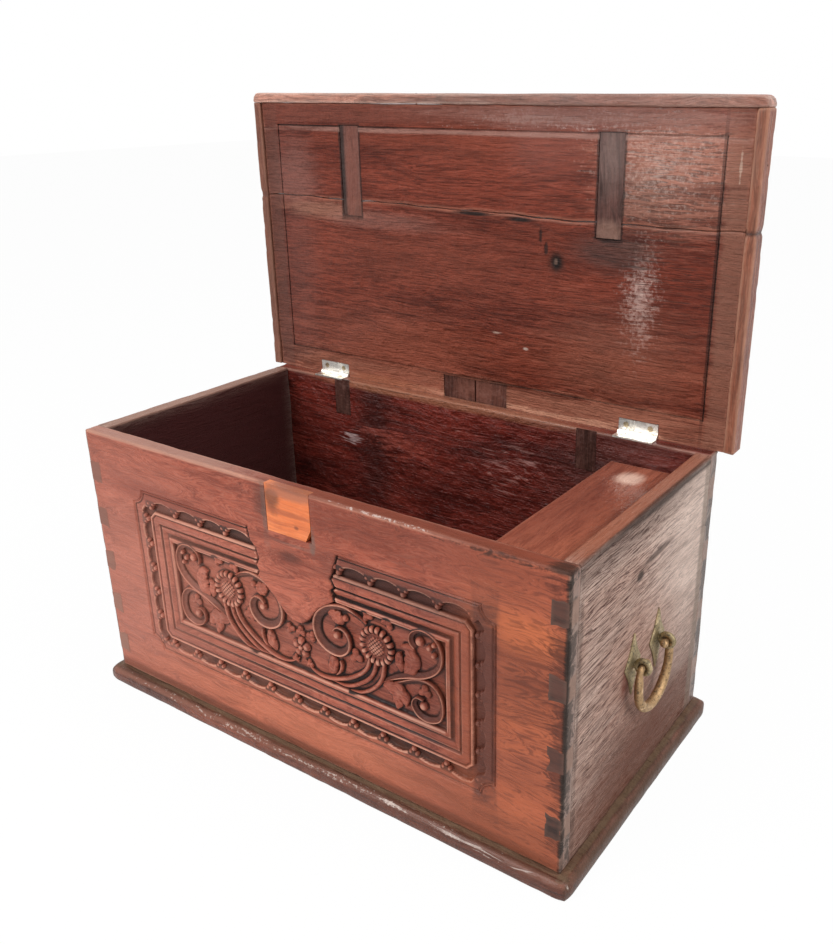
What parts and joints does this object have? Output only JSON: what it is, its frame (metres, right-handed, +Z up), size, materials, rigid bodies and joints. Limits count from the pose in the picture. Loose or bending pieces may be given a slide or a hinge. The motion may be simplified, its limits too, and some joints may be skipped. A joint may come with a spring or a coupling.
{
  "type": "blanket chest",
  "caption": "Wooden blanket chest with carved front, dovetailed walls, hinged lid with lipped edge, inner till with pivoted lid, and brass bail handles at the ends.",
  "frame": {"origin": "middle of the underside, on the floor", "axes": "+X to the right seen from the front, front face towards -Y, +Z up; stored with the lid standing open"},
  "size_m": [0.641, 0.3405, 0.6555],
  "materials": {
    "front_wood": "satin, red-brown",
    "end_wood": "dry and open-grained, greyed red-brown",
    "back_wood": "varnished, dark maroon",
    "base_wood": "worn, dark grey-brown",
    "lid_wood": "varnished, dark red-brown",
    "lip_wood": "worn, brown",
    "slip_wood": "matte, dark",
    "patch_wood": "bare, orange",
    "till_wood": "smooth, red-brown",
    "hinge_steel": "bright plated",
    "screw_brass": "plain",
    "handle_brass": "aged, green-brown",
    "nail_iron": "dark"
  },
  "bodies": {
    "chest": {"front_board": "front_wood", "back_board": "back_wood", "left_end_board": "end_wood", "right_end_board": "end_wood", "bottom_front_board": "base_wood", "bottom_rear_board": "base_wood", "bottom_nails": "nail_iron", "lock_patch": "patch_wood", "back_slip_left": "slip_wood", "back_slip_right": "slip_wood", "till_side": "till_wood", "till_bottom": "till_wood", "hinge_leaf_lower_left": "hinge_steel", "hinge_leaf_lower_right": "hinge_steel", "hinge_pin_left": "hinge_steel", "hinge_pin_right": "hinge_steel", "hinge_screws_lower": "screw_brass", "right_plate_front": "handle_brass", "right_plate_rear": "handle_brass", "right_eye_front": "handle_brass", "right_eye_rear": "handle_brass", "right_washers": "handle_brass", "left_plate_front": "handle_brass", "left_plate_rear": "handle_brass", "left_eye_front": "handle_brass", "left_eye_rear": "handle_brass", "left_washers": "handle_brass"},
    "lid": {"lid_rear_board": "lid_wood", "lid_front_board": "lid_wood", "lid_dowels": "slip_wood", "lid_lip_front": "lip_wood", "lid_lip_left": "lip_wood", "lid_lip_right": "lip_wood", "lid_brads": "nail_iron", "lid_slip_left": "slip_wood", "lid_slip_right": "slip_wood", "lid_lock_slip_left": "slip_wood", "lid_lock_slip_right": "slip_wood", "hinge_leaf_upper_left": "hinge_steel", "hinge_leaf_upper_right": "hinge_steel", "hinge_screws_upper": "screw_brass"},
    "till_cover": {"till_lid": "till_wood"},
    "right_handle": {"right_bail": "handle_brass"},
    "left_handle": {"left_bail": "handle_brass"}
  },
  "joints": [
    {"name": "lid_hinge", "type": "hinge", "parent": "chest", "child": "lid", "pos_m": [0, 0.154, 0.3185], "axis": [-1, 0, 0], "range_deg": [-90, 0]},
    {"name": "till_lid_pivot", "type": "hinge", "parent": "chest", "child": "till_cover", "pos_m": [0.271, 0, 0.2855], "axis": [0, 1, 0], "range_deg": [0, 20]},
    {"name": "right_bail_swing", "type": "hinge", "parent": "chest", "child": "right_handle", "pos_m": [0.3115, 0, 0.166], "axis": [0, -1, 0], "range_deg": [-6, 186]},
    {"name": "left_bail_swing", "type": "hinge", "parent": "chest", "child": "left_handle", "pos_m": [-0.3115, 0, 0.166], "axis": [0, 1, 0], "range_deg": [-6, 186]}
  ]
}
